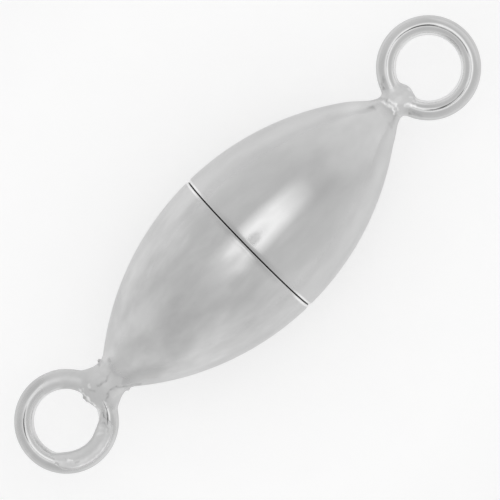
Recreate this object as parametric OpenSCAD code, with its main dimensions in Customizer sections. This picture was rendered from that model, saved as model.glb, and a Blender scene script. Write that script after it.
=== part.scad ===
// Magnetic clasp: a hollow silver olive in two halves that a pair of disc
// magnets holds together, with a ring eye soldered to each tip.
// The clasp lies on its side along X, with its rings level. The socket half
// points to +X and the plug half to -X. Millimetres.

/* [Olive body] */
// Widest diameter of the closed olive
body_d = 8; // [7.5:0.1:12]
// Length of one half, from the middle of the seam to its cut-off tip
half_length = 8.55; // [7.5:0.05:12]
// Diameter of the cut-off tip
tip_d = 1.8; // [1.5:0.05:2.4]
// Thickness of the shell's wall
shell_wall = 0.35; // [0.25:0.05:0.6]
// Length of solid metal behind each tip
tip_solid = 1.2; // [0.8:0.1:2]
// Gap between the two rims when the clasp is closed
seam_gap = 0.05; // [0.03:0.01:0.2]
// Radius that rounds each rim
rim_round = 0.2; // [0.1:0.01:0.3]
// Thickness of the flange inside each rim
flange_t = 0.4; // [0.3:0.05:0.6]

/* [Ring eyes] */
// Diameter of the ring wire
wire_d = 0.92; // [0.7:0.01:1.2]
// Diameter of the hole through each ring
ring_hole_d = 3; // [2:0.1:4.5]
// Distance from the socket half's tip to its ring
socket_ring_gap = 0.57; // [0.3:0.01:1]
// Distance from the plug half's tip to its ring
plug_ring_gap = 0.79; // [0.3:0.01:1.2]

/* [Solder] */
// Diameter of the socket half's neck
socket_neck_d = 1.7; // [1.2:0.05:2]
// Length of the socket half's neck before it tapers
socket_neck_land = 0.2; // [0.1:0.01:0.4]
// Diameter of the plug half's neck
plug_neck_d = 1.9; // [1.2:0.05:2.2]
// Length of the plug half's neck before it tapers
plug_neck_land = 0.75; // [0.1:0.01:0.9]
// Diameter of the pin end that each neck tapers to
pin_d = 0.88; // [0.6:0.01:1]
// How far the socket half's pin end stands into its ring's hole
socket_pin_reach = 0.26; // [0.1:0.01:0.5]
// How far the plug half's pin end stands into its ring's hole
plug_pin_reach = 0.14; // [0.1:0.01:0.5]
// Width of the solder crescent inside the plug half's ring
web_w = 0.16; // [0.08:0.01:0.4]
// Thickness of the crescent at its free edge
web_edge_t = 0.6; // [0.3:0.05:0.7]
// Thickness of the crescent at the middle of the wire
web_root_t = 0.85; // [0.7:0.05:0.85]
// Angle at which the crescent starts, around the ring from +X
web_start = 218; // [190:1:240]
// Angle that the crescent spans
web_span = 96; // [30:1:110]

/* [Magnets] */
// Diameter of both magnet discs
magnet_d = 5; // [4:0.1:5.2]
// Thickness of the plug half's magnet
plug_magnet_t = 3; // [2:0.1:4]
// Thickness of the socket half's magnet
socket_magnet_t = 2; // [1.5:0.1:2.2]
// Bevel around each magnet's edges
magnet_bevel = 0.12; // [0.05:0.01:0.2]
// Gap between the two magnets' faces when the clasp is closed
magnet_gap = 0.05; // [0.03:0.01:0.2]
// Glue gap around and behind each magnet
glue_gap = 0.05; // [0.03:0.01:0.1]

/* [Magnet cups] */
// How far the socket half's magnet is set back from its rim
recess_depth = 0.9; // [0.6:0.05:1.2]
// Gap around the plug half's magnet inside the recess
recess_clearance = 0.15; // [0.1:0.01:0.3]
// Thickness of each cup's wall
cup_wall = 0.25; // [0.2:0.01:0.35]
// Thickness of the lip behind each magnet
lip_t = 0.25; // [0.2:0.01:0.4]
// Width of the lip behind each magnet
lip_w = 0.6; // [0.4:0.05:1]

/* [Hidden] */
$fn = 180;

// Reach past a face so that a cut or a joint crosses it cleanly
past = 1;

body_r = body_d / 2;
tip_r = tip_d / 2;
wire_r = wire_d / 2;
ring_hole_r = ring_hole_d / 2;
ring_mid_r = ring_hole_r + wire_r;
pin_r = pin_d / 2;
magnet_r = magnet_d / 2;

// The olive's outline is one arc, widest at the seam and through the tip
arc_rise = body_r - tip_r;
arc_r = (pow(half_length, 2) + pow(arc_rise, 2)) / (2 * arc_rise);
arc_centre = body_r - arc_r;

// Each rim starts half a seam gap from the seam, and its rounding is centred
// where it touches the outline
rim_h = seam_gap / 2;
round_h = rim_h + rim_round;
round_r = arc_centre + sqrt(pow(arc_r - rim_round, 2) - pow(round_h, 2));

// The clasp lies on its widest circle
axis_z = arc_centre + sqrt(pow(arc_r, 2) - pow(round_h, 2));

// Both ends' rings, and the seam's place midway between the ends
socket_ring_h = half_length + socket_ring_gap + wire_d + ring_hole_r;
plug_ring_h = half_length + plug_ring_gap + wire_d + ring_hole_r;
seam_x = (plug_ring_h - socket_ring_h) / 2;

// Where both necks end
socket_pin_h = socket_ring_h - ring_hole_r + socket_pin_reach;
plug_pin_h = plug_ring_h - ring_hole_r + plug_pin_reach;

// Where the magnets lie, and the cups behind them
socket_magnet_front = rim_h + recess_depth;
plug_magnet_front = socket_magnet_front - magnet_gap;
socket_pocket_h = socket_magnet_front + socket_magnet_t + glue_gap;
plug_pocket_h = plug_magnet_t - plug_magnet_front + glue_gap;
pocket_r = magnet_r + glue_gap;
recess_r = magnet_r + recess_clearance;
cup_r = pocket_r + cup_wall;
lip_r = pocket_r - lip_w;

// The steps of each rim's rounding, in degrees
round_step = 30;
round_steps = 2;

// Turns each half about its axis, so that the clasp lies on the flat of a facet
// and not on an edge when it is meshed
facet_turn = 3;

// Carries a half from its own frame, tip upwards, to its place on the clasp
module to_socket_side() {
    translate([seam_x, 0, axis_z]) rotate([0, 90, 0]) rotate([0, 0, facet_turn]) children();
}

module to_plug_side() {
    translate([seam_x, 0, axis_z]) rotate([0, -90, 0]) rotate([0, 0, facet_turn]) children();
}

// What the rounding takes off the corner of a rim
module rim_corner() {
    last = round_steps * round_step;
    leaving = last + round_step / 2;
    leaving_r = round_r + rim_round * (sin(last) + cos(leaving));
    leaving_h = round_h + rim_round * (sin(leaving) - cos(last));
    polygon(concat(
        [for (i = [0:round_steps])
            [round_r + rim_round * sin(i * round_step),
             round_h - rim_round * cos(i * round_step)]],
        [[leaving_r, leaving_h], [body_d, leaving_h],
         [body_d, rim_h - past], [round_r, rim_h - past]]));
}

// The outside of one half, from its rim to its tip
module half_outline() {
    difference() {
        intersection() {
            translate([arc_centre, 0]) circle(r = arc_r);
            translate([0, rim_h]) square([body_d, half_length - rim_h]);
        }
        rim_corner();
    }
}

// The hollow between the flange and the solid tip, around the magnet's cup
module half_hollow(cup_h) {
    hollow_h = rim_h + flange_t;
    difference() {
        intersection() {
            translate([arc_centre, 0]) circle(r = arc_r - shell_wall);
            translate([-past, hollow_h])
                square([body_d, half_length - tip_solid - hollow_h]);
        }
        translate([-past, 0]) square([cup_r + past, cup_h]);
    }
}

// A round cut along the axis, from beyond the mouth to the height h
module cut_from_mouth(r, h) {
    translate([-past, -past]) square([r + past, h + past]);
}

// The neck, straight and then tapered to a round pin end in the ring
module neck_outline(neck_d, land, pin_h) {
    root_h = half_length - tip_solid / 2;
    ball_h = pin_h - pin_r;
    polygon([[0, root_h], [neck_d / 2, root_h],
             [neck_d / 2, half_length + land], [pin_r, ball_h], [0, ball_h]]);
    intersection() {
        translate([0, ball_h]) circle(r = pin_r);
        translate([0, ball_h]) square(pin_d);
    }
}

// One half's silver, turned about its axis, without the ring
module half_silver(pocket_h, mouth_r, mouth_h, neck_d, land, pin_h) {
    cup_h = pocket_h + lip_t;
    rotate_extrude() {
        difference() {
            half_outline();
            half_hollow(cup_h);
            cut_from_mouth(mouth_r, mouth_h);
            cut_from_mouth(pocket_r, pocket_h);
            cut_from_mouth(lip_r, cup_h + past / 10);
        }
        neck_outline(neck_d, land, pin_h);
    }
}

// A ring of round wire, level with the clasp's axis
module ring_eye() {
    rotate_extrude() translate([ring_mid_r, 0]) circle(r = wire_r);
}

// The crescent of solder along the inside of a ring
module ring_web() {
    edge_r = ring_hole_r - web_w;
    rotate_extrude(angle = web_span, start = web_start)
        polygon([[edge_r, -web_edge_t / 2], [ring_mid_r, -web_root_t / 2],
                 [ring_mid_r, web_root_t / 2], [edge_r, web_edge_t / 2]]);
}

// A disc with bevelled edges
module magnet_disc(t) {
    rotate_extrude()
        polygon([[0, 0], [magnet_r - magnet_bevel, 0],
                 [magnet_r, magnet_bevel], [magnet_r, t - magnet_bevel],
                 [magnet_r - magnet_bevel, t], [0, t]]);
}

module socket_shell() {
    color("silver") union() {
        to_socket_side()
            half_silver(socket_pocket_h, recess_r, socket_magnet_front,
                        socket_neck_d, socket_neck_land, socket_pin_h);
        translate([seam_x + socket_ring_h, 0, axis_z]) ring_eye();
    }
}

module plug_shell() {
    color("silver") union() {
        to_plug_side()
            half_silver(plug_pocket_h, pocket_r, plug_pocket_h,
                        plug_neck_d, plug_neck_land, plug_pin_h);
        translate([seam_x - plug_ring_h, 0, axis_z]) {
            ring_eye();
            ring_web();
        }
    }
}

module socket_magnet() {
    color("gainsboro") to_socket_side()
        translate([0, 0, socket_magnet_front]) magnet_disc(socket_magnet_t);
}

module plug_magnet() {
    color("gainsboro") to_plug_side()
        translate([0, 0, -plug_magnet_front]) magnet_disc(plug_magnet_t);
}

socket_shell();
plug_shell();
socket_magnet();
plug_magnet();
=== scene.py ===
"""Looks of a magnetic clasp: a polished silver olive in two halves, with a ring eye
soldered to each tip, lying on a plain pale floor in a white light tent."""

import cmath
import math

import bpy
import numpy as np
from mathutils import Matrix, Vector


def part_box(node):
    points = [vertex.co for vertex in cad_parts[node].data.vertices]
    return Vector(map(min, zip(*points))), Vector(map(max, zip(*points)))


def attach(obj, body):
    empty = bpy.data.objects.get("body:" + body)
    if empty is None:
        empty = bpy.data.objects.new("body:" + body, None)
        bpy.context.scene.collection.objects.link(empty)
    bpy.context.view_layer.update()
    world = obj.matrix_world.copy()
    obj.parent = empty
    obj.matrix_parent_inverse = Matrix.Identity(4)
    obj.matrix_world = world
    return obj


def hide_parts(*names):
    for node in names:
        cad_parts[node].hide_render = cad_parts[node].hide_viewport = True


MM = 0.001
TINY = 1e-6

# Sizes in millimetres that the frame's boxes don't give
TIP_R = 0.9
HALF_LENGTH = 8.55
SHELL_WALL = 0.35
TIP_SOLID = 1.2
RIM_ROUND = 0.2
RIM_DROP = 0.07
FLANGE_T = 0.4
WIRE_R = 0.46
RING_HOLE_R = 1.5
RING_MID_R = RING_HOLE_R + WIRE_R
PIN_R = 0.44
GLUE_GAP = 0.05
RECESS_CLEARANCE = 0.15
CUP_WALL = 0.25
LIP_T = 0.25
LIP_W = 0.6
DISH = 0.1
EDGE_ROUND = 0.05
MAGNET_ROUND = 0.12

# Where the turned body ends, and the blended tip, neck and ring begin
JOIN_H = 7.7

# Fineness of the meshes. The blended tips' grid starts a little lower, where it
# leaves no pinched edges.
AROUND = 256
ARC_ROWS = 60
CORNER_STEPS = 5
NET_STEP = 0.05
NET_LOWER = 0.01
NET_MARGIN = 3 * NET_STEP
OUTLINE_ROUNDS = 10
SLOPE_STEP = 0.002
LEAST_STEEP = 0.05
RELAX_ROUNDS = 4
RELAX_SHARE = 0.6
FLOOR_SIDES = 96
DISC_SIDES = 64

# How far the body's tip runs on inside the neck, and how its end is rounded
TIP_REACH = 0.45
TIP_BLEND = 0.1

# How far solder covers the neck, in depth, how softly that ends, and half the width
# over which its edge fades
SOLDER_REACH = 0.35
SOLDER_REACH_FADE = 0.25
SOLDER_EDGE = 0.06

# The lumps of the solder and its finer grain: their seeds, the lengths of their waves
# and their heights
LUMP_SEED = 7
LUMP_WAVES = (0.5, 0.62, 0.75, 0.9, 1.1)
GRAIN_WAVES = (0.16, 0.2, 0.24, 0.3, 0.36)
LUMP_HEIGHT = 0.010
SOCKET_GRAIN = 0.003
PLUG_GRAIN = 0.002

# The socket half's neck, and along the edge of its solder a groove and a ridge, each
# with its distance from the edge, its width and its height, and how far out and above
# the axis they lie
NECK_BLEND = 0.16
SOCKET_NECK_R = 0.79
SOCKET_NECK_START = HALF_LENGTH - 0.1
SOCKET_RING_BLEND = 0.3
SOCKET_EDGE_WANDER = 0.05
SOCKET_GROOVE = (0.0, 0.045, -0.02)
SOCKET_RIDGE = (0.09, 0.05, 0.02)
SOCKET_GROOVE_R = (1.05, 0.85)
SOCKET_GROOVE_Z = (0.35, 0.6)

# The plug half's neck, whose fillet widens towards its upper and lower side
PLUG_NECK_R = 0.92
PLUG_NECK_TAPER = 0.02
PLUG_NECK_START = HALF_LENGTH - 0.4
PLUG_NECK_LAND = HALF_LENGTH + 0.6
PLUG_NECK_WIDENS = 0.3
PLUG_NECK_WIDENS_Z = (0.3, 0.8)
PLUG_RING_BLEND = 0.75
PLUG_HOLE_BLEND = 0.3

# The crescent of solder in the plug half's ring
WEB_EDGE_R = 1.375
WEB_FOLD_R = 2.19
WEB_TOP = 0.46
WEB_UNDER = 0.40
WEB_SLOPE = 0.2
WEB_MID_ANGLE = 85
WEB_HALF_SPAN = 52
WEB_FACE_BLEND = 0.02
WEB_HOLE_BLEND = 0.12
WEB_FOLD_BLEND = 0.06
WEB_WIRE_BLEND = 0.05
WEB_FADE = 0.06

# Solder that ran along the plug half's ring: up to which angle, how far that edge
# wanders, half the angle over which it fades, and half the width over which it starts
FLOW_ANGLE = -112
FLOW_WANDER = 8
FLOW_FADE = 20
FLOW_START = 0.03

# Burrs on the plug half's neck: how much higher than wide they are, how they blend in,
# and the place and size of each
BURR_HEIGHT = 3
BURR_BLEND = 0.1
PLUG_BURRS = ((8.72, -0.96, 0.07), (8.68, 0.92, 0.07), (10.41, -0.20, 0.08),
              (10.41, -0.03, 0.07))

# Marks on the upper side of each neck, in its half's own frame: two ends, the width,
# and the strength, above 0 a painted highlight and below 0 painted shade in a crease.
# Their edges are ragged, and the plug half's stand out or are pressed in.
MARK_RAG = 0.028
MARK_RISE = 0.02
UPPER_SIDE = (0.1, 0.3)
SOCKET_MARKS = (
    ((8.95, 0.34), (9.10, -0.20), 0.05, 1.0),
    ((9.10, -0.20), (8.93, -0.45), 0.04, 1.0),
    ((9.21, 0.20), (9.29, -0.17), 0.045, 0.9),
    ((9.29, -0.17), (9.21, -0.42), 0.04, 0.9),
    ((9.13, 0.27), (9.17, 0.14), 0.04, -0.4),
    ((8.62, 0.76), (8.97, 0.56), 0.06, -0.35),
    ((8.97, 0.56), (9.12, 0.38), 0.045, -0.3),
    ((8.41, -0.79), (9.04, -0.42), 0.05, -0.3),
    ((9.37, 0.79), (9.43, 0.86), 0.07, 0.5),
    ((9.60, 0.97), (9.76, 1.12), 0.06, -0.4),
    ((9.58, -0.50), (9.72, -0.52), 0.055, 0.9),
    ((9.72, -0.52), (9.92, -0.82), 0.05, 0.7),
    ((9.60, -1.00), (9.72, -1.36), 0.09, -0.35),
    ((10.08, 0.44), (10.15, 0.40), 0.035, 0.7),
    ((10.20, -0.04), (10.22, -0.14), 0.035, 0.6),
    ((10.02, -0.38), (10.08, -0.44), 0.035, 0.5),
)
PLUG_MARKS = (
    ((9.51, -0.16), (9.35, -0.13), 0.05, -0.5),
    ((9.35, -0.13), (9.09, -0.08), 0.045, -0.45),
    ((9.09, -0.08), (8.86, -0.13), 0.045, -0.35),
    ((8.86, -0.13), (8.69, -0.22), 0.04, -0.2),
    ((9.95, -0.29), (9.83, -0.11), 0.05, -0.35),
    ((9.84, -0.40), (9.79, -0.50), 0.05, 0.6),
    ((10.15, -0.50), (10.17, -0.54), 0.04, 0.5),
    ((9.76, 0.61), (9.60, 0.52), 0.05, -0.25),
    ((9.60, 0.52), (9.43, 0.41), 0.05, -0.35),
    ((9.43, 0.41), (9.22, 0.38), 0.04, -0.3),
    ((9.23, 0.40), (9.17, 0.36), 0.04, -0.6),
    ((9.17, 0.38), (8.93, 0.47), 0.04, -0.3),
    ((8.93, 0.47), (8.73, 0.71), 0.045, -0.4),
    ((9.35, 0.66), (8.95, 0.68), 0.15, 0.2),
    ((8.72, 0.68), (8.06, 1.13), 0.045, -0.5),
    ((8.12, 1.06), (8.04, 1.12), 0.06, -0.3),
    ((8.88, -0.72), (8.65, -1.02), 0.04, -0.5),
    ((8.31, -0.60), (8.25, -0.64), 0.08, -0.4),
    ((10.29, -0.62), (10.28, 0.38), 0.035, 1.0),
    ((10.42, -0.25), (10.42, 0.03), 0.04, -0.6),
    ((9.45, -0.52), (8.85, -0.55), 0.25, 0.12),
    ((8.80, -0.42), (8.60, -0.55), 0.15, 0.12),
    ((9.88, 0.57), (9.95, 0.80), 0.05, 0.6),
    ((10.65, 1.17), (10.51, 1.31), 0.04, -0.35),
    ((10.51, 1.31), (10.69, 1.66), 0.04, -0.3),
    ((11.10, 1.42), (10.95, 1.50), 0.08, 0.35),
    ((10.84, 1.30), (10.78, 1.40), 0.05, 0.3),
    ((13.36, 0.90), (13.30, 1.00), 0.05, 0.6),
    ((13.42, 1.06), (13.38, 1.16), 0.035, -0.5),
    ((12.92, 1.30), (12.80, 1.48), 0.05, 0.7),
    ((12.98, 1.22), (12.92, 1.28), 0.035, -0.4),
    ((12.78, 1.62), (12.62, 1.72), 0.035, -0.4),
)

# A painted highlight along the crescent's outer fold: its radius, how far that wanders,
# its width and strength, and the angles over which it starts and ends
FOLD_R = 2.12
FOLD_WANDER = 0.02
FOLD_WIDTH = 0.04
FOLD_GLINT = 0.7
FOLD_START = (45, 60)
FOLD_END = (105, 125)

# Where each rim gets a painted highlight, on both sides of the clasp: its distance from
# the seam's middle, its width and how far to the sides it sets in. In between it gets a
# little painted shade, up to a distance from the seam and from the middle.
RIM_OUTSIDE_R = (3.7, 3.85)
RIM_GLINT_H = 0.09
RIM_GLINT_WIDTH = 0.045
RIM_GLINT_Y = (2.85, 3.5)
RIM_SHADE = 0.35
RIM_SHADE_H = (0.16, 0.3)
RIM_SHADE_Y = (0.8, 2.8)

# How much painted light brightens the inside of each ring, and where it sets in,
# measured inwards from the middle of the wire
HOLE_LIGHT = 0.5
HOLE_LIGHT_START = (0.2, 0.36)

# How matt the tip is where the polishing wheel doesn't reach, and where that sets in,
# along the neck and inwards from the middle of the wire
TIP_MATT = 0.6
MATT_START_H = JOIN_H + 0.1
MATT_DEPTH = (0.15, 0.4)

# Lighter and darker patches on the upper side, partly smudges of the hand polish and
# partly painted highlight and painted shade: their places along X and Y, half their
# length and width, and their strength
SMUDGES_AND_PAINTED_LIGHT = (
    (-5.7, 1.15, 1.5, 0.45, 0.9),
    (-5.0, -1.9, 0.9, 0.45, 1.0),
    (-3.9, -2.3, 0.8, 0.5, 0.5),
    (-2.9, -1.5, 0.5, 0.3, 0.4),
    (-4.6, -0.5, 1.6, 0.6, -0.5),
    (-2.0, -1.6, 0.7, 0.35, -0.5),
    (-8.1, 0.75, 0.5, 0.25, 0.7),
    (-8.0, -0.75, 0.6, 0.3, -0.8),
    (-7.0, -1.2, 0.7, 0.35, -1.0),
    (-6.2, 0.7, 1.2, 0.35, 0.6),
    (-4.2, 1.1, 0.7, 0.4, 0.5),
    (-2.4, 2.1, 1.6, 0.5, 0.5),
    (-2.2, -3.1, 1.1, 0.5, -0.7),
    (-2.0, -0.45, 0.7, 0.25, -0.6),
    (-3.1, 2.9, 1.2, 0.4, 0.3),
    (5.3, 1.2, 0.9, 0.5, 0.5),
    (4.4, -0.7, 0.9, 0.35, -0.5),
    (7.9, 1.1, 0.6, 0.3, 0.7),
    (1.9, -0.95, 0.7, 0.2, 0.5),
    (-0.7, 0.3, 0.35, 0.16, 0.8),
    (-0.6, -0.1, 0.35, 0.12, -0.7),
    (-0.7, -0.65, 0.4, 0.3, 1.0),
    (1.25, 0.0, 0.3, 0.18, -0.5),
)

# Painted dark reflections along the top of each ring's wire, the dark core of its
# highlight: the angle of the middle of each from +X, half the angle that it spans, its
# radius and its width
SOCKET_DARK_CORES = (
    (52, 14, 1.965, 0.038),
    (64, 28, 1.955, 0.022),
    (6, 30, 1.930, 0.022),
    (239, 13, 1.930, 0.031),
    (264, 22, 1.905, 0.022),
)
PLUG_DARK_CORES = (
    (134, 15, 1.940, 0.026),
    (148, 12, 1.950, 0.022),
    (321, 3, 1.920, 0.025),
    (332, 9, 1.960, 0.022),
)
DARK_CORE_FADE = 7
DARK_CORE_STRENGTH = (0.6, 1.0)

# The photograph's view: its angle, its lean towards the socket half, its width in
# millimetres and its middle
PHOTO_TURN = 44.33
PHOTO_LEAN = 2.5
PHOTO_WIDTH = 23.0
PHOTO_MIDDLE = (-0.072, -0.258)
CAMERA_DISTANCE = 0.3
SENSOR = 36


def frame_sizes():
    """What the CAD frame says of the clasp, in millimetres."""
    socket_low, socket_high = (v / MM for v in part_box("socket_shell"))
    plug_low, plug_high = (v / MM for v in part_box("plug_shell"))
    socket_magnet_low, socket_magnet_high = (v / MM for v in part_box("socket_magnet"))
    plug_magnet_low, plug_magnet_high = (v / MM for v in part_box("plug_magnet"))
    seam_x = (socket_low.x + plug_high.x) / 2
    return {
        "seam_x": seam_x,
        "axis_z": (socket_low.z + socket_high.z) / 2,
        "rim_h": (socket_low.x - plug_high.x) / 2,
        "socket_end_h": socket_high.x - seam_x,
        "plug_end_h": seam_x - plug_low.x,
        "magnet_r": (plug_magnet_high.y - plug_magnet_low.y) / 2,
        "socket_magnet_h": (socket_magnet_low.x - seam_x, socket_magnet_high.x - seam_x),
        "plug_magnet_h": (seam_x - plug_magnet_high.x, seam_x - plug_magnet_low.x),
    }


class Olive:
    """The outline that both halves share. h is the distance from the middle of the
    seam towards the tip, and r the distance from the axis. The clasp lies on its
    widest circle, where the rims' rounding begins."""

    def __init__(self, sizes):
        self.rim_h = sizes["rim_h"]
        self.round_h = self.rim_h + RIM_ROUND
        middle_r = sizes["axis_z"]
        for _ in range(OUTLINE_ROUNDS):
            rise = middle_r - TIP_R
            self.arc_r = (HALF_LENGTH**2 + rise**2) / (2 * rise)
            self.centre = middle_r - self.arc_r
            middle_r += sizes["axis_z"] - self.radius(self.round_h)

    def radius(self, h, inset=0.0):
        """Radius at h of the outside, or of the same outline set in."""
        return self.centre + np.sqrt((self.arc_r - inset) ** 2 - np.square(h))

    def distance(self, h, r):
        """Distance to the outside, below 0 within."""
        return np.hypot(h, r - self.centre) - self.arc_r

    def rows(self, start_h, end_h, count, inset=0.0):
        """Profile rows along the outline, with the air on the left of the way: h, r
        and a normal, which mesh_piece brings to length 1."""
        h = np.linspace(start_h, end_h, count)
        r = self.radius(h, inset)
        out = 1 if end_h > start_h else -1
        return np.stack([h, r, out * h, out * (r - self.centre)], 1)

    def rim_rows(self):
        """Profile rows of the rim, a gentle quarter oval from the mating face to the
        outline."""
        lean = math.atan(RIM_ROUND / RIM_DROP * self.round_h / self.arc_r)
        face_r = self.radius(self.round_h + RIM_ROUND * math.sin(lean))
        face_r -= RIM_DROP * math.cos(lean)
        a = np.linspace(math.pi / 2, -lean, 3 * CORNER_STEPS)
        out_h, out_r = -np.sin(a), np.cos(a)
        h, r = self.round_h + RIM_ROUND * out_h, face_r + RIM_DROP * out_r
        return np.stack([h, r, out_h * RIM_DROP, out_r * RIM_ROUND], 1)


def turned_corner(before, corner, after, radius):
    """Profile rows of a corner, rounded, with the air on the left of the way. Points
    and normals are worked out as complex numbers, h + r * 1j."""
    before, corner, after = (complex(*point) for point in (before, corner, after))
    way = (corner - before) / abs(corner - before)
    bend = cmath.phase((after - corner) / way)
    reach = math.copysign(radius, bend)
    centre = corner + way * reach * (1j - math.tan(bend / 2))
    normals = way * 1j * np.exp(1j * np.linspace(0, bend, CORNER_STEPS))
    points = centre - normals * reach
    return np.stack([points.real, points.imag, normals.real, normals.imag], 1)


def turned_corners(points, radius):
    """Profile rows through points, each of those between the ends rounded."""
    triples = zip(points, points[1:], points[2:])
    return np.concatenate([turned_corner(a, b, c, radius) for a, b, c in triples])


def without_repeats(rows):
    """Profile rows without those that lie where the row before them does."""
    moved = np.abs(np.diff(rows[:, :2], axis=0)).max(1) > TINY
    return rows[np.append(True, moved)]


def half_profile(olive, mouth_r, mouth_h, pocket_r, pocket_h, dish):
    """Profile rows of a half, from the end of its hollow on the axis, round the rim
    and along the outside up to where the tip begins. One half's mating face is dished
    and the other's bulges as much, so that no light shows through the seam."""
    hollow_end = HALF_LENGTH - TIP_SOLID
    hollow_start = olive.rim_h + FLANGE_T
    cup_r = pocket_r + CUP_WALL
    cup_h = pocket_h + LIP_T
    lip_r = pocket_r - LIP_W
    wall_r = olive.radius(hollow_end, SHELL_WALL)
    flange_r = olive.radius(hollow_start, SHELL_WALL)
    way = [
        (hollow_start, flange_r),
        (hollow_start, cup_r),
        (cup_h, cup_r),
        (cup_h, lip_r),
        (pocket_h, lip_r),
        (pocket_h, pocket_r),
    ]
    if mouth_h < pocket_h:
        way += [(mouth_h, pocket_r), (mouth_h, mouth_r)]
    rim = olive.rim_rows()
    way += [(olive.rim_h + dish, mouth_r), (rim[0][0], rim[0][1])]
    return without_repeats(np.concatenate([
        [[hollow_end, 0, -1, 0], [hollow_end, wall_r, -1, 0]],
        olive.rows(hollow_end, hollow_start, ARC_ROWS // 2, SHELL_WALL),
        turned_corners(way, EDGE_ROUND),
        rim,
        olive.rows(rim[-1][0], JOIN_H, ARC_ROWS)[1:],
    ]))


def ring_size(r):
    """How many vertices a profile row gives: one on the axis, or else a ring."""
    return 1 if r < TINY else AROUND


def lathe(rows):
    """Vertices, normals and faces of profile rows turned about the axis, and the
    vertices of the last row."""
    angles = np.arange(AROUND) * 2 * math.pi / AROUND
    turn = np.stack([np.ones(AROUND), np.cos(angles), np.sin(angles)], 1)
    points, normals, rings = [], [], []
    count = 0
    for h, r, normal_h, normal_r in rows:
        size = ring_size(r)
        points.append(turn[:size] * (h, r, r))
        normals.append(turn[:size] * (normal_h, normal_r, normal_r))
        rings.append(count + np.arange(AROUND) % size)
        count += size
    faces = []
    for low, high in zip(rings, rings[1:]):
        corners = [low, np.roll(low, -1), np.roll(high, -1), high]
        if low[0] == low[1]:
            del corners[1]
        elif high[0] == high[1]:
            del corners[2]
        faces += np.stack(corners, 1).tolist()
    return np.concatenate(points), np.concatenate(normals), faces, rings[-1]


def smooth_least(a, b, blend):
    """The lesser of two distances, with the crease filled over the width blend."""
    share = np.clip(0.5 + 0.5 * (b - a) / blend, 0, 1)
    return b + (a - b) * share - blend * share * (1 - share)


def smooth_most(a, b, blend):
    """The greater of two distances, with the edge rounded over the width blend."""
    return -smooth_least(-a, -b, blend)


def ramp(value, start, end):
    """0 before start, 1 after end, and smooth between them."""
    t = np.clip((value - start) / (end - start), 0, 1)
    return t * t * (3 - 2 * t)


def bell(value, middle, width):
    """1 at the middle, fading on both sides over about the width."""
    return np.exp(-(((value - middle) / width) ** 2))


def round_cone(h, r, start_h, start_r, end_h, end_r):
    """Distance to two balls on the axis and the cone that wraps them."""
    length = end_h - start_h
    slope = (start_r - end_r) / length
    rise = math.sqrt(1 - slope**2)
    along = h - start_h
    reach = along * rise - r * slope
    start = np.hypot(along, r) - start_r
    end = np.hypot(along - length, r) - end_r
    side = along * slope + r * rise - start_r
    return np.where(reach < 0, start, np.where(reach > length * rise, end, side))


def segment_distance(a, b, start, end):
    """Distance from points to a line between two ends, in a plane."""
    a, b = a - start[0], b - start[1]
    way_a, way_b = end[0] - start[0], end[1] - start[1]
    share = np.clip((a * way_a + b * way_b) / (way_a**2 + way_b**2), 0, 1)
    return np.hypot(a - share * way_a, b - share * way_b)


class Lumps:
    """A smooth uneven field, a sum of waves in seeded directions."""

    def __init__(self, seed, wavelengths):
        random = np.random.default_rng(seed)
        ways = random.normal(size=(len(wavelengths), 3))
        ways /= np.linalg.norm(ways, axis=1)[:, None]
        self.ways = ways * 2 * math.pi / np.array(wavelengths)[:, None]
        self.shifts = random.uniform(0, 2 * math.pi, len(wavelengths))

    def __call__(self, h, y, z):
        total = 0
        for way, shift in zip(self.ways, self.shifts):
            total = total + np.sin(way[0] * h + way[1] * y + way[2] * z + shift)
        return total / math.sqrt(len(self.shifts))


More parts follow.
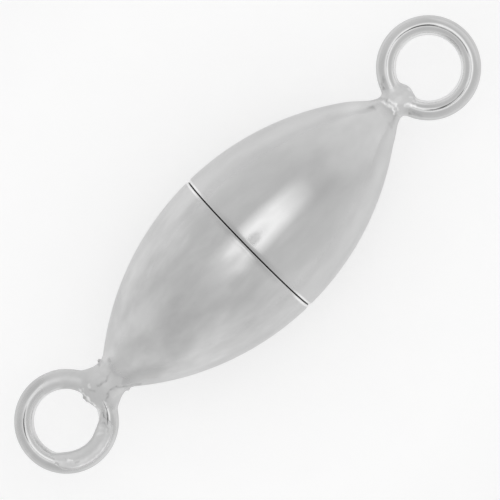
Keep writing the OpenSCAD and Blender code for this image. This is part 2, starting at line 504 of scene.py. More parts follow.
class Tip:
    """The blended end of a half: its tip, neck, pin end and ring, as a distance field
    in the half's own frame. Each kind has its own pin_reach, how far the pin's end
    reaches into the ring's hole, neck_aside, how far the neck is set aside, solder_h,
    where solder begins, and solder_wander, how far that edge wanders."""

    def __init__(self, olive, end_h):
        self.olive = olive
        self.end_h = end_h
        self.ring_h = end_h - RING_HOLE_R - 2 * WIRE_R
        self.pin_h = self.ring_h - RING_HOLE_R + self.pin_reach - PIN_R
        self.coarse = Lumps(LUMP_SEED, LUMP_WAVES)
        self.fine = Lumps(LUMP_SEED + 1, GRAIN_WAVES)

    def across(self, h, y):
        """Distance from the middle of the ring's hole."""
        return np.hypot(h - self.ring_h, y)

    def angle(self, h, y):
        """Angle in degrees around the ring."""
        return np.degrees(np.arctan2(y, h - self.ring_h))

    def ring(self, h, y, z):
        """Distance to the ring's wire."""
        return np.hypot(self.across(h, y) - RING_MID_R, z) - WIRE_R

    def body(self, h, y, z):
        """Distance to the body, whose tip bends aside with the neck and ends inside it."""
        aside = self.neck_aside * ramp(h, JOIN_H, HALF_LENGTH)
        outline = self.olive.distance(h, np.hypot(y - aside, z))
        return smooth_most(outline, h - HALF_LENGTH - TIP_REACH, TIP_BLEND)

    def solder(self, h, y, z):
        """How much of the surface at a point is solder, from 0 to 1."""
        reach = SOLDER_REACH - self.neck(h, np.hypot(y - self.neck_aside, z))
        edge_h = self.solder_h + self.solder_wander * self.coarse(0, y, z)
        beyond = ramp(h, edge_h - SOLDER_EDGE, edge_h + SOLDER_EDGE)
        return beyond * ramp(reach, 0, SOLDER_REACH_FADE)

    def wire(self, h, y, z):
        """How much of the surface at a point is bare ring wire, from 0 to 1."""
        start_h = self.ring_h - RING_MID_R
        return ramp(h, start_h - WIRE_R, start_h + WIRE_R) * (1 - self.solder(h, y, z))

    def matt(self, h, y, z):
        """How matt the polish is, which rises towards the neck and inside the ring."""
        inside = ramp(RING_MID_R - self.across(h, y), *MATT_DEPTH)
        neck = ramp(h, MATT_START_H, HALF_LENGTH) * (1 - self.wire(h, y, z))
        return np.maximum(neck, inside)

    def painted_hole_light(self, h, y, z):
        """How much painted light brightens the inside of the ring."""
        depth = RING_MID_R - self.across(h, y)
        return HOLE_LIGHT * ramp(depth, *HOLE_LIGHT_START) * self.wire(h, y, z)

    def scuff(self, h, y, z):
        """Painted light of the marks: above 0 painted highlight, and below 0 painted shade in
        creases.
        """
        ragged_h = h + MARK_RAG * self.fine(h, y, z)
        ragged_y = y + MARK_RAG * self.fine(h + 1, y, z)
        total = 0
        for start, end, width, strength in self.marks:
            distance = segment_distance(ragged_h, ragged_y, start, end)
            total = total + strength * bell(distance, 0, width)
        return total * ramp(z, *UPPER_SIDE)

    def lumpy(self, field, h, y, z, grain):
        """The field with the solder's lumps and grain."""
        lumps = LUMP_HEIGHT * self.coarse(h, y, z) + grain * self.fine(h, y, z)
        return field + self.solder(h, y, z) * lumps


class SocketTip(Tip):
    """A short neck that the body tapers into, with a ragged line of solder at its
    foot, draped over the wire."""

    pin_reach = 0.26
    neck_aside = -0.08
    solder_h = HALF_LENGTH + 0.46
    solder_wander = 0.03
    marks = SOCKET_MARKS

    def neck(self, h, r):
        """Distance to the neck."""
        return round_cone(h, r, SOCKET_NECK_START, SOCKET_NECK_R, self.pin_h, PIN_R)

    def __call__(self, h, y, z):
        r = np.hypot(y, z)
        neck = self.neck(h, np.hypot(y - self.neck_aside, z))
        field = smooth_least(self.body(h, y, z), neck, NECK_BLEND)
        field = smooth_least(field, self.ring(h, y, z), SOCKET_RING_BLEND)
        from_edge = h - self.solder_h - SOCKET_EDGE_WANDER * self.coarse(0, y, z)
        near = ramp(r, *SOCKET_GROOVE_R) * ramp(np.abs(z), *SOCKET_GROOVE_Z)
        for middle, width, height in (SOCKET_GROOVE, SOCKET_RIDGE):
            field = field - near * height * bell(from_edge, middle, width)
        return self.lumpy(field, h, y, z, SOCKET_GRAIN)


class PlugTip(Tip):
    """A longer neck with a flared collar at its foot, wide fillets into the ring, and
    a crescent of solder along one side of the ring's hole."""

    pin_reach = 0.14
    neck_aside = 0
    solder_h = HALF_LENGTH + 0.05
    solder_wander = 0.12
    marks = PLUG_MARKS

    def neck(self, h, r):
        """Distance to the neck."""
        end_r = PLUG_NECK_R - PLUG_NECK_TAPER
        land = round_cone(h, r, PLUG_NECK_START, PLUG_NECK_R, PLUG_NECK_LAND, end_r)
        taper = round_cone(h, r, PLUG_NECK_LAND, end_r, self.pin_h, PIN_R)
        return np.minimum(land, taper)

    def web(self, h, y, z):
        """Distance to the crescent of solder, which lies in the ring's hole and over
        half of the wire, thickest at the fold along its outer edge."""
        across = self.across(h, y)
        share = (self.angle(h, y) - WEB_MID_ANGLE) / WEB_HALF_SPAN
        ends = np.minimum(share**4, 3)
        edge = WEB_EDGE_R + (RING_HOLE_R - WEB_EDGE_R) * ends
        fold = WEB_FOLD_R - (WEB_FOLD_R - RING_MID_R) * np.minimum(share**8, 2)
        rise = WEB_SLOPE * (across - RING_MID_R)
        plate = smooth_most(z - WEB_TOP - rise, -z - WEB_UNDER - rise, WEB_FACE_BLEND)
        plate = smooth_most(plate, edge - across, WEB_HOLE_BLEND)
        return smooth_most(plate, across - fold, WEB_FOLD_BLEND)

    def solder(self, h, y, z):
        """The solder of the neck, of the crescent and along the ring."""
        web = ramp(-self.web(h, y, z), -WEB_FADE, 0)
        angle = self.angle(h, y) + FLOW_WANDER * self.coarse(h, y, z)
        flow = ramp(FLOW_ANGLE - angle, -FLOW_FADE, FLOW_FADE)
        flow = flow * ramp(h, self.solder_h - FLOW_START, self.solder_h + FLOW_START)
        return np.maximum(Tip.solder(self, h, y, z), np.maximum(web, flow))

    def scuff(self, h, y, z):
        """The marks, and a painted highlight along the crescent's outer fold."""
        across = self.across(h, y) + FOLD_WANDER * self.fine(h, y, z)
        angle = self.angle(h, y)
        fold = bell(across, FOLD_R, FOLD_WIDTH) * ramp(z, *UPPER_SIDE)
        fold = fold * ramp(angle, *FOLD_START) * (1 - ramp(angle, *FOLD_END))
        return Tip.scuff(self, h, y, z) + FOLD_GLINT * fold

    def __call__(self, h, y, z):
        r = np.hypot(y, z)
        blend = NECK_BLEND + PLUG_NECK_WIDENS * ramp(np.abs(z), *PLUG_NECK_WIDENS_Z)
        field = smooth_least(self.body(h, y, z), self.neck(h, r), blend)
        for place_h, place_y, size in PLUG_BURRS:
            from_middle = (h - place_h) ** 2 + (y - place_y) ** 2 + (z / BURR_HEIGHT) ** 2
            field = smooth_least(field, np.sqrt(from_middle) - size, BURR_BLEND)
        hole_h = self.ring_h - RING_MID_R
        in_hole = ramp(h, hole_h - WIRE_R, hole_h + WIRE_R)
        blend = PLUG_RING_BLEND + (PLUG_HOLE_BLEND - PLUG_RING_BLEND) * in_hole
        field = smooth_least(field, self.ring(h, y, z), blend)
        field = smooth_least(field, self.web(h, y, z), WEB_WIRE_BLEND)
        field = self.lumpy(field, h, y, z, PLUG_GRAIN)
        return field - MARK_RISE * self.scuff(h, y, z)


def slope_of(field, points):
    """The field and its slope at points."""
    value = field(*points.T)
    slope = np.empty_like(points)
    for axis, shift in enumerate(np.eye(3) * SLOPE_STEP):
        change = field(*(points + shift).T) - field(*(points - shift).T)
        slope[:, axis] = change / (2 * SLOPE_STEP)
    return value, slope


def settle(field, points, rounds=4):
    """Points moved along the slope onto the surface."""
    for _ in range(rounds):
        value, slope = slope_of(field, points)
        steep = np.maximum((slope**2).sum(1), LEAST_STEEP)
        points = points - slope * (value / steep)[:, None]
    return points


def surface_net(field, low, high, step):
    """Vertices and faces of the surface where a field is 0, one vertex to each grid
    cell that the surface crosses."""
    axes = [np.arange(a, b + step, step) for a, b in zip(low, high)]
    grid = np.meshgrid(*axes, indexing="ij")
    inside = field(*grid) < 0
    size = [n - 1 for n in inside.shape]
    near = np.zeros(size, int)
    for i, j, k in np.ndindex(2, 2, 2):
        near += inside[i : i + size[0], j : j + size[1], k : k + size[2]]
    crossed = (near > 0) & (near < 8)
    number = np.full(size, -1)
    cells = np.argwhere(crossed)
    number[crossed] = np.arange(len(cells))
    points = np.array(low) + (cells + 0.5) * step
    faces = []
    for axis in range(3):
        others = [a for a in range(3) if a != axis]
        edges = np.argwhere(inside != np.roll(inside, -1, axis))
        least = [int(a != axis) for a in range(3)]
        edges = edges[((edges >= least) & (edges < size)).all(1)]
        corners = []
        for back in ((1, 1), (0, 1), (0, 0), (1, 0)):
            cell = edges.copy()
            cell[:, others] -= back
            corners.append(number[tuple(cell.T)])
        quad = np.stack(corners, 1)
        flip = inside[tuple(edges.T)] == (axis == 1)
        quad[flip] = quad[flip][:, ::-1]
        faces.append(quad)
    return points, np.concatenate(faces)


def side_pairs(faces):
    """Every side of the faces, as pairs of vertices in the faces' own direction."""
    return np.stack([faces.T, np.roll(faces, -1, 1).T], 2).reshape(-1, 2)


def relax(field, points, faces, fixed):
    """Evens out the vertices along the surface, all but the fixed ones."""
    pairs = side_pairs(faces)
    pairs = np.concatenate([pairs, pairs[:, ::-1]])
    count = np.bincount(pairs[:, 0], minlength=len(points))
    for _ in range(RELAX_ROUNDS):
        middle = np.zeros_like(points)
        for axis in range(3):
            middle[:, axis] = np.bincount(pairs[:, 0], points[pairs[:, 1], axis], len(points))
        middle /= count[:, None]
        moved = settle(field, points + RELAX_SHARE * (middle - points), rounds=2)
        points = np.where(fixed[:, None], points, moved)
    return points


def open_loop(faces):
    """The vertices along the one open edge of a net, in order."""
    known = {(a, b) for a, b in side_pairs(faces).tolist()}
    follow = {a: b for a, b in known if (b, a) not in known}
    start = min(follow)
    loop = [start]
    while follow[loop[-1]] != start:
        loop.append(follow[loop[-1]])
    return np.array(loop)


def zip_loops(points, first, second):
    """Triangles between two loops that both run about the axis from +Y towards +Z."""

    def closed(loop):
        """The loop from its vertex nearest to +Y and back to it, and the angles of its
        vertices, with a last one beyond all others."""
        angles = np.arctan2(points[loop, 2], points[loop, 1])
        start = np.argmin(np.abs(angles))
        loop, angles = np.roll(loop, -start), np.unwrap(np.roll(angles, -start))
        ends = [angles[0] + 2 * math.pi, np.inf]
        return [*loop.tolist(), int(loop[0])], np.append(angles, ends)

    first, first_angles = closed(first)
    second, second_angles = closed(second)
    faces = []
    i = j = 0
    while i + j < len(first) + len(second) - 2:
        if first_angles[i + 1] <= second_angles[j + 1]:
            faces.append([first[i], first[i + 1], second[j]])
            i += 1
        else:
            faces.append([first[i], second[j + 1], second[j]])
            j += 1
    return faces


def facing(points, side):
    """Points or normals of a half's own frame, turned about the vertical for the half
    whose side is -1. The half towards +X has side 1."""
    return points * (side, side, 1)


def place(points, side, sizes):
    """Points of a half's own frame, carried into the row frame."""
    return (facing(points, side) + (sizes["seam_x"], 0, sizes["axis_z"])) * MM


def new_object(name, data):
    """An object of the scene with a mesh or a camera as its data."""
    thing = bpy.data.objects.new(name, data)
    bpy.context.scene.collection.objects.link(thing)
    return thing


def mesh_piece(name, points, normals, faces, **marks):
    """An object from numpy arrays in the row frame. Normals may have any length, and
    marks are float attributes."""
    mesh = bpy.data.meshes.new(name)
    mesh.from_pydata(points.tolist(), [], faces)
    mesh.shade_smooth()
    for mark, values in marks.items():
        attribute = mesh.attributes.new(mark, "FLOAT", "POINT")
        attribute.data.foreach_set("value", np.asarray(values, np.float32))
    lengths = np.linalg.norm(normals, axis=1)[:, None]
    mesh.normals_split_custom_set_from_vertices((normals / lengths).tolist())
    return new_object(name, mesh)


def smudges(points, axis_z):
    """How much lighter, above 0, or darker each point is: polish smudges, partly painted
    highlight and painted shade.
    """
    x, y, z = points.T
    total = np.zeros(len(points))
    for place_x, place_y, length, width, strength in SMUDGES_AND_PAINTED_LIGHT:
        total += strength * bell(x, place_x, length) * bell(y, place_y, width)
    return total * (z > axis_z)


def rim_glint_and_shade(points):
    """How bright the rim's painted highlight is, or below 0 how dark its painted shade is."""
    h, y, z = points.T
    aside = np.abs(y)
    outside = ramp(np.hypot(y, z), *RIM_OUTSIDE_R)
    bright = bell(h, RIM_GLINT_H, RIM_GLINT_WIDTH) * ramp(aside, *RIM_GLINT_Y)
    dark = (1 - ramp(h, *RIM_SHADE_H)) * (1 - ramp(aside, *RIM_SHADE_Y))
    return outside * (bright - RIM_SHADE * dark)


def shell_half(name, side, sizes, olive, tip, mouth_r, mouth_h, pocket_h):
    """One half's silver: the turned body joined to its blended tip."""
    pocket_r = sizes["magnet_r"] + GLUE_GAP
    rows = half_profile(olive, mouth_r, mouth_h, pocket_r, pocket_h, side * DISH)
    body_points, body_normals, body_faces, last_ring = lathe(rows)

    reach = RING_HOLE_R + 2 * WIRE_R + NET_MARGIN
    thick = olive.radius(JOIN_H) + NET_MARGIN
    low = (JOIN_H, -reach, -thick - NET_LOWER)
    high = (tip.end_h + NET_MARGIN, reach, thick)
    points, faces = surface_net(tip, low, high, NET_STEP)
    points = settle(tip, points)
    loop = open_loop(faces)
    edge_h = JOIN_H + NET_STEP / 2
    spread = np.hypot(points[loop, 1], points[loop, 2])
    points[loop, 0] = edge_h
    points[loop, 1:] *= (olive.radius(edge_h) / spread)[:, None]
    on_loop = np.isin(np.arange(len(points)), loop)
    points = relax(tip, points, faces, on_loop)
    normals = slope_of(tip, points)[1]

    count = len(body_points)
    all_points = np.concatenate([body_points, points])
    net_faces = (faces + count).tolist()
    zip_faces = zip_loops(all_points, last_ring, loop + count)
    bare = np.zeros(count)
    row_of = np.repeat(np.arange(len(rows)), [ring_size(r) for r in rows[:, 1]])
    inside = row_of < len(rows) - ARC_ROWS - 2 * CORNER_STEPS
    placed = place(all_points, side, sizes)
    # Painted highlight and painted shade of the neck's marks, and painted light inside the
    # ring
    tip_scuff = tip.scuff(*points.T) + tip.painted_hole_light(*points.T)
    return mesh_piece(
        name,
        placed,
        facing(np.concatenate([body_normals, normals]), side),
        body_faces + zip_faces + net_faces,
        solder=np.concatenate([bare, tip.solder(*points.T)]),
        wire=np.concatenate([bare, tip.wire(*points.T)]),
        # Painted highlight and painted shade of the rims, and the tip's painted light
        scuff=np.concatenate([rim_glint_and_shade(body_points), tip_scuff]),
        matt=np.concatenate([inside, TIP_MATT * tip.matt(*points.T)]),
        # Polish smudges, partly painted highlight and painted shade
        smudge=smudges(placed / MM, sizes["axis_z"]),
    )


def magnet_disc(name, side, sizes, front_h, back_h):
    """A disc with rounded edges, turned about the axis."""
    r = sizes["magnet_r"]
    way = [(front_h, 0), (front_h, r), (back_h, r), (back_h, 0)]
    rows = np.concatenate([
        [[front_h, 0, -1, 0]],
        turned_corners(way, MAGNET_ROUND),
        [[back_h, 0, 1, 0]],
    ])
    points, normals, faces, _ = lathe(rows)
    return mesh_piece(name, place(points, side, sizes), facing(normals, side), faces)


class Nodes:
    """Short ways to add and join a material's nodes."""

    def __init__(self, tree):
        self.tree = tree

    def add(self, kind, **values):
        """A new node with its settings."""
        node = self.tree.nodes.new(kind)
        for key, value in values.items():
            setattr(node, key, value)
        return node

    def feed(self, value, socket):
        """Joins an output to an input, or sets the input to a plain value."""
        if isinstance(value, bpy.types.NodeSocket):
            self.tree.links.new(value, socket)
        else:
            socket.default_value = value

    def set(self, node, **values):
        """Sets or joins inputs by name, with _ for a space."""
        for key, value in values.items():
            self.feed(value, node.inputs[key.replace("_", " ")])

    def where(self, output="Object"):
        """The place of each point, in metres, or its direction where nothing is."""
        return self.add("ShaderNodeTexCoord").outputs[output]

    def parts(self, vector):
        """The X, Y and Z of a vector."""
        node = self.add("ShaderNodeSeparateXYZ")
        self.set(node, Vector=vector)
        return node.outputs

    def noise(self, stretch, per_mm, detail, roughness=0.5):
        """Noise from 0 to 1, over the object's own millimetres, stretched."""
        where = self.vector("MULTIPLY", self.where(), [s / MM for s in stretch])
        node = self.add("ShaderNodeTexNoise")
        self.set(node, Vector=where, Scale=per_mm, Detail=detail, Roughness=roughness)
        return node.outputs["Fac"]

    def remap(self, value, low, high, start=0.3, end=0.7):
        """A value from start to end, spread over low to high."""
        node = self.add("ShaderNodeMapRange")
        self.set(node, Value=value, From_Min=start, From_Max=end, To_Min=low, To_Max=high)
        return node.outputs["Result"]

    def math(self, operation, a, b=0):
        """A sum on two outputs or plain numbers."""
        node = self.add("ShaderNodeMath", operation=operation)
        self.feed(a, node.inputs[0])
        self.feed(b, node.inputs[1])
        return node.outputs[0]

    def plus(self, a, b):
        return self.math("ADD", a, b)

    def times(self, a, b):
        return self.math("MULTIPLY", a, b)

    def vector(self, operation, a, b=(0, 0, 0)):
        """A vector operation on an output and a plain vector."""
        node = self.add("ShaderNodeVectorMath", operation=operation)
        self.feed(a, node.inputs[0])
        self.feed(b, node.inputs[1])
        return node.outputs["Value" if operation in ("LENGTH", "DOT_PRODUCT") else "Vector"]

    def mix_colour(self, share, a, b):
        """Colour a where share is 0, and b where it is 1."""
        node = self.add("ShaderNodeMix", data_type="RGBA")
        self.feed(share, node.inputs[0])
        self.feed(a, node.inputs[6])
        self.feed(b, node.inputs[7])
        return node.outputs[2]

    def bump(self, height, millimetres, normal=None):
        """A bump as high as the height's range times the distance given."""
        node = self.add("ShaderNodeBump")
        self.set(node, Height=height, Distance=millimetres * MM, Strength=1.0)
        if normal is not None:
            self.set(node, Normal=normal)
        return node.outputs["Normal"]

    def mark(self, name):
        """A float attribute of the mesh."""
        return self.add("ShaderNodeAttribute", attribute_name=name).outputs["Fac"]


def grey(level):
    """A grey, with full alpha."""
    return (level, level, level, 1)


def painted_dark_cores(nodes, sizes, ring_x, lines):
    """How much of a point is painted dark reflection along the top of a ring's wire."""
    where = nodes.where()
    from_middle = nodes.vector("SUBTRACT", where, (ring_x * MM, 0, 0))
    flat = nodes.vector("MULTIPLY", from_middle, (1 / MM, 1 / MM, 0))
    across = nodes.vector("LENGTH", flat)
    axis_z = sizes["axis_z"] * MM
    upper = nodes.remap(nodes.parts(where)["Z"], 0, 1, axis_z, axis_z + 0.5 * WIRE_R * MM)
    total = 0.0
    for angle, half_span, radius, width in lines:
        a = math.radians(angle)
        ahead = nodes.vector("DOT_PRODUCT", flat, (math.cos(a), math.sin(a), 0))
        edge, fade = math.radians(half_span), math.radians(DARK_CORE_FADE)
        span = (math.cos(edge + fade), math.cos(edge - fade))
        inside = nodes.remap(nodes.math("DIVIDE", ahead, across), 0, 1, *span)
        off = nodes.math("DIVIDE", nodes.math("SUBTRACT", across, radius), width)
        fall = nodes.times(nodes.times(off, off), -1.0)
        line = nodes.times(inside, nodes.math("EXPONENT", fall))
        total = nodes.plus(total, line)
    broken = nodes.remap(nodes.noise(*DARK_CORE_BREAKS), *DARK_CORE_STRENGTH)
    return nodes.times(nodes.times(upper, total), broken)


def new_material(name):
    """An empty node material, its helper and its metal shader."""
    material = bpy.data.materials.new(name)
    material.use_nodes = True
    nodes = Nodes(material.node_tree)
    shader = material.node_tree.nodes["Principled BSDF"]
    return material, nodes, shader


SILVER_LIGHT = grey(0.65)
SILVER_DARK = grey(0.61)
# Greys of the polish smudges, partly painted highlight and painted shade
SMUDGE_AND_HIGHLIGHT_GREY = grey(0.74)
SMUDGE_AND_SHADE_GREY = grey(0.54)
# Greys of painted highlights and of painted shade
PAINTED_HIGHLIGHT = grey(0.98)
PAINTED_SHADE = grey(0.36)
# Grey of the painted dark reflection along the rings' wires
PAINTED_DARK_CORE = grey(0.10)
EDGE_TINT = grey(0.85)

# How much duller than the polished body its solder and its matt places are, how far the
# dullness varies, and how much glossier the wire is
SOLDER_DULL = 0.25
MATT_DULL = 0.2
DULL_SPREAD = 0.03
WIRE_GLOSS = (0.85, -0.3, 0.38, 0.62)

# The silver's noises: the stretch of each, how many to a millimetre and their detail
CLOUDS = ((0.5, 1, 1), 0.7, 3.0)
STREAKS = ((0.45, 1.1, 1.1), 0.95, 4.0)
WIPES = ((0.5, 2.5, 2.5), 2.2, 4.0)
GLOSS = ((1, 1, 1), 0.55, 1.0)
WAVES = ((0.5, 1, 1), 0.24, 1.0)
RIPPLES = ((0.5, 1, 1), 0.9, 2.0)
BENDS = ((1, 1, 1), 0.6, 1.0)
SCRATCHES = ((3, 14, 14), 1.6, 3.0)
DARK_CORE_BREAKS = ((1, 1, 1), 2.0, 3.0)

# Heights of the waves, of the bends of the wire and of the scratches, in millimetres
WAVE_HEIGHT = 0.030
BEND_HEIGHT = 0.06
SCRATCH_HEIGHT = 0.0003


def polished_silver(name, haze, ripple, streak, solder_grey, lines):
    """Hand-polished silver: softly wavy, finely scratched, smoothest on the wire,
    satin on the solder, and matt where the polishing wheel doesn't reach, with painted
    highlight and painted shade mixed into its colour. Haze is the body's roughness,
    ripple the height of its short waves, streak the strength of its cloudy streaks, and
    lines the sizes, the ring's place and the painted dark reflections along its wire."""
    material, nodes, shader = new_material(name)
    solder, wire = nodes.mark("solder"), nodes.mark("wire")
    matt, scuff = nodes.mark("matt"), nodes.mark("scuff")
    clouds = nodes.remap(nodes.noise(*CLOUDS), 0, 1)
    colour = nodes.mix_colour(clouds, SILVER_LIGHT, SILVER_DARK)
    streaks = nodes.remap(nodes.noise(*STREAKS), -streak, streak)
    # Polish smudges and streaks, the smudges partly painted highlight and painted shade
    smudge = nodes.plus(nodes.mark("smudge"), streaks)
    colour = nodes.mix_colour(nodes.remap(smudge, 0, 1, 0, 1), colour, SMUDGE_AND_HIGHLIGHT_GREY)
    colour = nodes.mix_colour(nodes.remap(smudge, 0, 1, 0, -1), colour, SMUDGE_AND_SHADE_GREY)
    colour = nodes.mix_colour(solder, colour, solder_grey)
    # Painted highlights, and painted shade in creases and beside the seam
    colour = nodes.mix_colour(scuff, colour, PAINTED_HIGHLIGHT)
    colour = nodes.mix_colour(nodes.remap(scuff, 0, 1, 0, -1), colour, PAINTED_SHADE)
    # Painted dark reflection along the top of each ring's wire
    colour = nodes.mix_colour(painted_dark_cores(nodes, *lines), colour, PAINTED_DARK_CORE)
    dull = nodes.remap(nodes.noise(*WIPES), haze - DULL_SPREAD, haze + DULL_SPREAD)
    gloss = nodes.times(wire, nodes.remap(nodes.noise(*GLOSS), *WIRE_GLOSS))
    dull = nodes.times(dull, nodes.math("SUBTRACT", 1.0, gloss))
    dull = nodes.plus(dull, nodes.times(solder, SOLDER_DULL))
    dull = nodes.plus(dull, nodes.times(matt, MATT_DULL))
    normal = nodes.bump(nodes.noise(*WAVES), WAVE_HEIGHT)
    normal = nodes.bump(nodes.noise(*RIPPLES), ripple, normal)
    normal = nodes.bump(nodes.times(wire, nodes.noise(*BENDS)), BEND_HEIGHT, normal)
    normal = nodes.bump(nodes.noise(*SCRATCHES), SCRATCH_HEIGHT, normal)
    nodes.set(shader, Base_Color=colour, Roughness=dull, Normal=normal)
    nodes.set(shader, Metallic=1.0, Specular_Tint=EDGE_TINT)
    return material


NICKEL_LIGHT = (0.60, 0.58, 0.545, 1)
NICKEL_DARK = (0.54, 0.52, 0.485, 1)
NICKEL_DULL = (0.14, 0.28)
NICKEL_CLOUDS = ((1, 1, 1), 1.1, 3.0)
NICKEL_GRAIN = ((1, 1, 1), 14.0, 3.0)
SLIDE_MARKS = ((1, 9, 2.5), 2.0, 5.0, 0.65)
GRAIN_HEIGHT = 0.0008
SLIDE_MARK_HEIGHT = 0.0006


def nickel_plating():
    """Bright nickel plating with fine marks where the two magnets slide."""
    material, nodes, shader = new_material("nickel_plating")
    clouds = nodes.remap(nodes.noise(*NICKEL_CLOUDS), 0, 1)
    colour = nodes.mix_colour(clouds, NICKEL_LIGHT, NICKEL_DARK)
    marks = nodes.noise(*SLIDE_MARKS)
    normal = nodes.bump(nodes.noise(*NICKEL_GRAIN), GRAIN_HEIGHT)
    normal = nodes.bump(marks, SLIDE_MARK_HEIGHT, normal)
    nodes.set(shader, Base_Color=colour, Metallic=1.0, Normal=normal)
    nodes.set(shader, Roughness=nodes.remap(marks, *NICKEL_DULL))
    return material


# The floor's greys and grain, its glow near the clasp and far from it, and where that
# fades, in metres
FLOOR_LIGHT = grey(0.61)
FLOOR_DARK = grey(0.59)
FLOOR_GRAIN = ((1, 1, 1), 0.6, 4.0)
FLOOR_ROUGHNESS = 0.9
FLOOR_GLOW = (0.48, 0.35)
FLOOR_FADE = (0.012, 0.036)
FLOOR_R = 1.5


def floor():
    """A plain pale floor, softly lit from below so that shadows stay faint, and a
    little darker far from the clasp."""
    material, nodes, shader = new_material("pale_floor")
    colour = nodes.mix_colour(nodes.noise(*FLOOR_GRAIN), FLOOR_LIGHT, FLOOR_DARK)
    glow = nodes.remap(nodes.vector("LENGTH", nodes.where()), *FLOOR_GLOW, *FLOOR_FADE)
    nodes.set(shader, Base_Color=colour, Emission_Color=grey(1), Emission_Strength=glow)
    nodes.set(shader, Roughness=FLOOR_ROUGHNESS, Specular_IOR_Level=0.0)
    stage_oval("floor", (0, 0, 0), (FLOOR_R, FLOOR_R), FLOOR_SIDES, material)


# The light tent's brightness by the sine of the height above the horizon, and how
# much brighter it is towards the socket half's end, by the direction's part along X
TENT = ((0.0, 0.865), (0.22, 0.832), (0.5, 0.784), (0.72, 0.76), (1.0, 0.75))
TENT_ALONG = (
    (-0.94, 0.97), (-0.74, 0.93), (-0.04, 1.0), (0.66, 0.97), (0.76, 1.09), (0.91, 1.16),
)


def grey_ramp(nodes, value, stops):
    """A grey that goes through stops of position and brightness."""
    node = nodes.add("ShaderNodeValToRGB")
    elements = node.color_ramp.elements
    while len(elements) < len(stops):
        elements.new(0.5)
    for element, (position, level) in zip(elements, stops):
        element.position = position
        element.color = grey(level)
    nodes.set(node, Fac=value)
    return node.outputs["Color"]


def light_tent():
    """Soft white light from everywhere above the floor."""
    world = bpy.data.worlds.new("light_tent")
    world.use_nodes = True
    bpy.context.scene.world = world
    nodes = Nodes(world.node_tree)
    parts = nodes.parts(nodes.where("Generated"))
    height = grey_ramp(nodes, parts["Z"], TENT)
    along = nodes.remap(parts["X"], 0, 1, -1, 1)
    gain = grey_ramp(nodes, along, [((x + 1) / 2, level) for x, level in TENT_ALONG])
    background = world.node_tree.nodes["Background"]
    nodes.set(background, Color=nodes.times(height, gain), Strength=1.0)


def stage_mesh(name, points, faces, material):
    """A stage object that isn't part of the clasp."""
    mesh = bpy.data.meshes.new(name)
    mesh.from_pydata(points, [], faces)
    mesh.materials.append(material)
    thing = new_object(name, mesh)


def stage_oval(name, middle, half, sides, material):
    """A flat level oval of one face."""
    x, y, z = middle
    around = [2 * math.pi * i / sides for i in range(sides)]
    rim = [(x + half[0] * math.cos(a), y + half[1] * math.sin(a), z) for a in around]
    stage_mesh(name, rim, [list(range(sides))], material)


# The soft panel overhead: its span along X and across, in metres, each with the width
# over which it fades out, and its glow over the plug half and over the socket half
PANEL_Z = 0.6
PANEL_X = (-0.326, 0.404)
PANEL_X_FADE = (0.20, 0.23)
PANEL_Y = (-0.27, 0.30)
PANEL_Y_FADE = (0.17, 0.17)
PANEL_GLOW = (0.98, 1.34)
PANEL_GLOW_X = (-0.126, 0.019)

# The oval disc overhead that the polished silver shows as a soft spot: its middle,
# half its length and width, its greys, the dust on it and its glow
DISC_MIDDLE = (0.014, 0.0, 0.55)
DISC_HALF = (0.032, 0.068)
DISC_LIGHT = grey(0.9785)
DISC_DARK = grey(0.9215)
DISC_DUST = ((1, 1, 1), 0.05, 2.0)
DISC_GLOW = 0.04


def soft_panel():
    """The panel that draws the bright streak along the olive, fading at its edges."""
    material, nodes, shader = new_material("soft_panel")
    nodes.tree.nodes.remove(shader)
    parts = nodes.parts(nodes.where())
    fade = 1.0
    for axis, (low, high), (low_fade, high_fade) in (
        ("X", PANEL_X, PANEL_X_FADE),
        ("Y", PANEL_Y, PANEL_Y_FADE),
    ):
        for edge, width in ((low, low_fade), (high, -high_fade)):
            part = nodes.remap(parts[axis], 0, 1, edge, edge + width)
            fade = nodes.times(fade, part)
    shine = nodes.add("ShaderNodeEmission")
    clear = nodes.add("ShaderNodeBsdfTransparent")
    blend = nodes.add("ShaderNodeMixShader")
    nodes.set(shine, Strength=nodes.remap(parts["X"], *PANEL_GLOW, *PANEL_GLOW_X))
    for source, socket in zip((fade, clear.outputs[0], shine.outputs[0]), blend.inputs):
        nodes.feed(source, socket)
    nodes.set(nodes.tree.nodes["Material Output"], Surface=blend.outputs[0])
    corners = [(x, y, PANEL_Z) for x in PANEL_X for y in PANEL_Y]
    stage_mesh("soft_panel", corners, [[0, 1, 3, 2]], material)


def overhead_disc():
    """A pale disc high above the clasp."""
    material, nodes, shader = new_material("overhead_disc")
    colour = nodes.mix_colour(nodes.noise(*DISC_DUST), DISC_LIGHT, DISC_DARK)
    nodes.set(shader, Base_Color=colour, Emission_Color=grey(1))
    nodes.set(shader, Emission_Strength=DISC_GLOW)
    stage_oval("overhead_disc", DISC_MIDDLE, DISC_HALF, DISC_SIDES, material)


def photo_camera(sizes):
    """The photograph's view: down, leaning a little towards the socket half and turned
    so that this half points to the upper right."""
    data = bpy.data.cameras.new("camera")
    data.sensor_width = SENSOR
    data.lens = SENSOR * CAMERA_DISTANCE / (PHOTO_WIDTH * MM)
    data.clip_start = 0.01
    data.clip_end = 10
    camera = new_object("camera", data)
    middle = Matrix.Translation(Vector((*PHOTO_MIDDLE, sizes["axis_z"])) * MM)
    lean = Matrix.Rotation(math.radians(PHOTO_LEAN), 4, "Y")
    turn = Matrix.Rotation(math.radians(-PHOTO_TURN), 4, "Z")
    back = Matrix.Translation((0, 0, CAMERA_DISTANCE))
    camera.matrix_world = middle @ lean @ turn @ back
    bpy.context.scene.camera = camera


def dress(piece, material, node, body):
    """Gives a piece its material, and puts it on its body in place of its CAD node."""
    piece.data.materials.append(material)
    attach(piece, body)
    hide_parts(node)


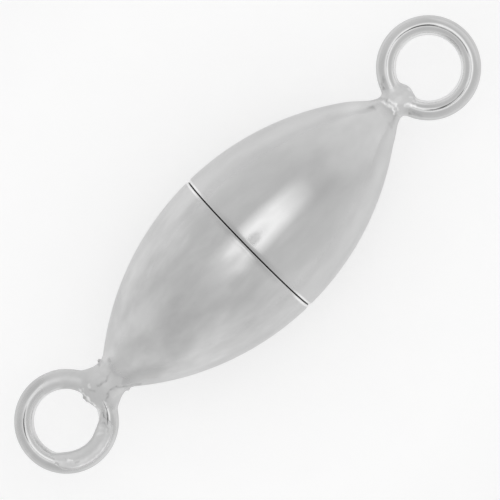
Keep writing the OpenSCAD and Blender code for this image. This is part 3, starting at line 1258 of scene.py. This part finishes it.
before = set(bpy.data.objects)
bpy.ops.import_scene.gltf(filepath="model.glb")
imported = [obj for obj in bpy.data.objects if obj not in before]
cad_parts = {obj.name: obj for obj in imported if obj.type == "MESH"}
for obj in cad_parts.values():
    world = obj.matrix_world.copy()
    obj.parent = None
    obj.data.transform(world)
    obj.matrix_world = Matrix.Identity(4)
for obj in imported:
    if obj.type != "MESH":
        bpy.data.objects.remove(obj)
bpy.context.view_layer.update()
sizes = frame_sizes()
photo_camera(sizes)
floor()
light_tent()
soft_panel()
overhead_disc()
bpy.context.scene.view_settings.view_transform = "Standard"

olive = Olive(sizes)
socket_tip = SocketTip(olive, sizes["socket_end_h"])
plug_tip = PlugTip(olive, sizes["plug_end_h"])
socket_silver = polished_silver(
    "socket_silver", haze=0.13, ripple=0.006, streak=0.25, solder_grey=grey(0.71),
    lines=(sizes, sizes["seam_x"] + socket_tip.ring_h, SOCKET_DARK_CORES),
)
plug_silver = polished_silver(
    "plug_silver", haze=0.17, ripple=0.012, streak=0.6, solder_grey=grey(0.68),
    lines=(sizes, sizes["seam_x"] - plug_tip.ring_h, PLUG_DARK_CORES),
)
nickel = nickel_plating()
socket_front, socket_back = sizes["socket_magnet_h"]
plug_front, plug_back = sizes["plug_magnet_h"]

socket_half = shell_half(
    "socket_half_silver", 1, sizes, olive, socket_tip,
    sizes["magnet_r"] + RECESS_CLEARANCE, socket_front, socket_back + GLUE_GAP,
)
plug_half = shell_half(
    "plug_half_silver", -1, sizes, olive, plug_tip,
    sizes["magnet_r"] + GLUE_GAP, plug_back + GLUE_GAP, plug_back + GLUE_GAP,
)
socket_disc = magnet_disc("socket_magnet_disc", 1, sizes, socket_front, socket_back)
plug_disc = magnet_disc("plug_magnet_disc", -1, sizes, plug_front, plug_back)

dress(socket_half, socket_silver, "socket_shell", "socket_half")
dress(plug_half, plug_silver, "plug_shell", "plug_half")
dress(socket_disc, nickel, "socket_magnet", "socket_half")
dress(plug_disc, nickel, "plug_magnet", "magnet_core")
